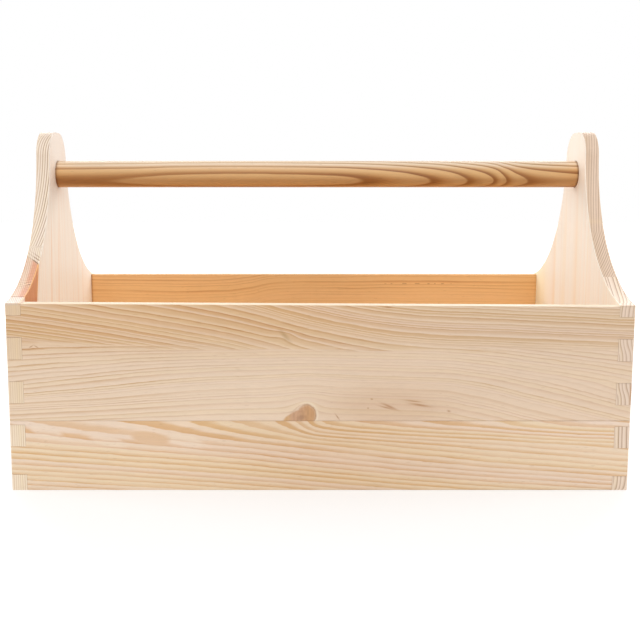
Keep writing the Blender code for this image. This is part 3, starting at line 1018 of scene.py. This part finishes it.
def make_end(box, name, node, side, material):
    """An end panel with its fingers, the handle's socket and the screw's countersink."""
    rise = RIGHT_JOINT_RISE if side > 0 else LEFT_JOINT_RISE
    half = fingered_side(box, "end", box.depth, box.wall, 0.0, box.rim, rise)
    half = half[:-1] + flare_and_tongue(box)
    lift = RIGHT_CORNER_RISE if side > 0 else LEFT_CORNER_RISE
    front = []
    for across, up in half:
        if up > box.rim - TINY:
            up += lift * max(across - CORNER_REACH, 0.0) / (box.depth - CORNER_REACH)
        front.append((across, up))
    outer = side * box.reach
    inner = side * box.inner
    outline = both_sides(half, front)
    piece = add_object(name, to_mesh(name, prism(outline, outer, inner, "X")))

    radius = box.handle_radius + SOCKET_GAP
    floor = side * (box.reach - SOCKET_WEB)
    mouth = side * (box.inner - CUT_OVERRUN)
    socket = lathe([(floor, 0.0), (floor, radius), (mouth, radius), (mouth, 0.0)], DOWEL_FACETS)
    head = side * SCREW_HEAD_DIAMETER / 2
    sink = [(outer + head, 0.0), (outer + head, SCREW_HEAD_DIAMETER), (outer - head, 0.0)]
    cutters = []
    for label, shape in (("_socket", socket), ("_sink", lathe(sink, SCREW_FACETS))):
        bmesh.ops.translate(shape, verts=shape.verts, vec=(0.0, 0.0, box.handle))
        cutters.append(add_object(name + label, to_mesh(name + label, shape)))
    carve(piece, cutters)

    def amount(one, other):
        if not same(one.x, other.x):
            return 0.0
        outside = same(one.x, outer)
        bored = math.hypot(one.y, one.z - box.handle) < radius + TINY
        if min(one.z, other.z) > box.rim + RIGHT_CORNER_RISE - TINY and not bored:
            return OUTLINE_EASE
        if same(abs(one.y), box.depth) and same(abs(other.y), box.depth):
            return CORNER_EASE if outside else JOINT_EASE
        if same(one.z, 0.0) and same(other.z, 0.0):
            return CORNER_EASE
        return JOINT_EASE if outside and max(one.z, other.z) < box.rim + TINY else 0.0

    ease(piece, amount)
    piece.data.materials.append(material)
    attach(piece, "root")
    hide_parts(node)


def make_handle(box, material):
    """The dowel, smooth and round, run into its sockets."""
    end = box.reach - SOCKET_WEB - GLUE_LINE
    places = [end * (2 * step / DOWEL_STATIONS - 1) for step in range(DOWEL_STATIONS + 1)]
    profile = [(-end, 0.0), *((place, box.handle_radius) for place in places), (end, 0.0)]
    bm = lathe(profile, DOWEL_FACETS)
    bmesh.ops.translate(bm, verts=bm.verts, vec=(0.0, 0.0, box.handle))
    piece = add_object("handle", to_mesh("handle", bm))
    piece.data.shade_smooth()
    piece.data.set_sharp_from_angle(angle=SHARP_ANGLE)
    piece.data.materials.append(material)
    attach(piece, "root")
    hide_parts("handle_dowel")


def make_camera():
    data = bpy.data.cameras.new("camera")
    data.sensor_width = SENSOR_MILLIMETRES
    data.lens = data.sensor_width * FOCAL_PIXELS / PHOTO_WIDTH_PIXELS
    data.shift_x = (PHOTO_WIDTH_PIXELS / 2 - CENTRE_PIXEL) / PHOTO_WIDTH_PIXELS
    camera = add_object("camera", data)
    turn = Matrix.Rotation(CAMERA_TURN, 4, "Z")
    nod = Matrix.Rotation(CAMERA_NOD, 4, "X")
    upright = Matrix.Rotation(math.radians(90.0), 4, "X")
    camera.matrix_world = Matrix.Translation(CAMERA_PLACE) @ turn @ nod @ upright
    bpy.context.scene.camera = camera


def make_lamp(name, side, place, size, watts):
    """A square lamp. One on the left has its place mirrored."""
    data = bpy.data.lights.new(name, "AREA")
    data.shape = "SQUARE"
    data.size = size
    data.energy = watts
    lamp = add_object(name, data)
    lamp.location = (side * place[0], place[1], place[2])
    aim = Vector(LAMP_TARGET) - lamp.location
    lamp.rotation_euler = aim.to_track_quat("-Z", "Y").to_euler()


def seen_by_eye(nodes, links):
    """One for what the camera sees, straight, in a reflection or through glass."""
    path = nodes.new("ShaderNodeLightPath")
    total = path.outputs["Is Camera Ray"]
    for name in ("Is Glossy Ray", "Is Transmission Ray"):
        most = nodes.new("ShaderNodeMath")
        most.operation = "MAXIMUM"
        links.new(total, most.inputs[0])
        links.new(path.outputs[name], most.inputs[1])
        total = most.outputs[0]
    return total


def make_sky():
    """Even and white: the eye sees it at full strength, and it lights with SKY_STRENGTH."""
    world = bpy.data.worlds.new("studio")
    world.use_nodes = True
    bpy.context.scene.world = world
    nodes, links = world.node_tree.nodes, world.node_tree.links
    sky = nodes["Background"]
    sky.inputs["Color"].default_value = (1.0, 1.0, 1.0, 1.0)
    eye = seen_by_eye(nodes, links)
    strength = nodes.new("ShaderNodeMix")
    strength.inputs["A"].default_value = SKY_STRENGTH
    strength.inputs["B"].default_value = 1.0
    links.new(eye, strength.inputs["Factor"])
    links.new(strength.outputs["Result"], sky.inputs["Strength"])


def make_floor():
    """White, and keeping the box's shadow. Far from the box it is as bright as the sky."""
    bm = bmesh.new()
    bmesh.ops.create_grid(bm, x_segments=1, y_segments=1, size=FLOOR_REACH)
    floor = add_object("floor", to_mesh("floor", bm))
    tree = ShaderTree("floor")
    inputs = tree.surface.inputs
    inputs["Base Color"].default_value = (FLOOR_GREY, FLOOR_GREY, FLOOR_GREY, 1.0)
    inputs["Roughness"].default_value = 1.0
    inputs["Specular IOR Level"].default_value = 0.0
    inputs["Emission Color"].default_value = (1.0, 1.0, 1.0, 1.0)
    reach = tree.hypot(tree.x, tree.y)
    lift = tree.step(reach, NEAR_REACH, FAR_REACH, NEAR_LIFT, FAR_LIFT)
    lift = tree.math("MULTIPLY", seen_by_eye(tree.nodes, tree.links), lift)
    tree.feed(lift, inputs["Emission Strength"])
    floor.data.materials.append(tree.material)
    floor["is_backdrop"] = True


def main():
    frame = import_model()
    cad_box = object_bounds()
    make_camera()
    make_sky()
    make_floor()
    make_lamp("front", 1, *FRONT_LAMP)
    for name, side in (("left", -1), ("right", 1)):
        make_lamp(name + "_side", side, *SIDE_LAMP)
        make_lamp(name + "_rear", side, *REAR_LAMP)

    box = Box()
    front_pines = front_upper_pine(box), front_lower_pine(box)
    back_pines = (back_pine(box),) * 2
    for wall, (upper, lower) in (("front", front_pines), ("back", back_pines)):
        back, high, low = wall == "back", wall + "_upper", wall + "_lower"
        make_board(box, high, high + "_board", back, box.seam, box.rim, upper)
        make_board(box, low, low + "_board", back, 0.0, box.seam - GLUE_LINE, lower)
    make_end(box, "left_end", "left_end_panel", -1, left_end_pine(box))
    make_end(box, "right_end", "right_end_panel", 1, right_end_pine(box))
    make_handle(box, handle_pine(box))

    for node, material in (
        ("bottom_panel", plywood()),
        ("left_handle_screw", zinc()),
        ("right_handle_screw", zinc()),
    ):
        frame["nodes"][node].data.materials.clear()
        frame["nodes"][node].data.materials.append(material)

    bpy.context.scene.view_settings.view_transform = "Standard"
    bpy.context.view_layer.update()
    boxes = {"cad": cad_box, "visual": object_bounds()}
    {key: [list(corner) for corner in pair] for key, pair in boxes.items()}


main()
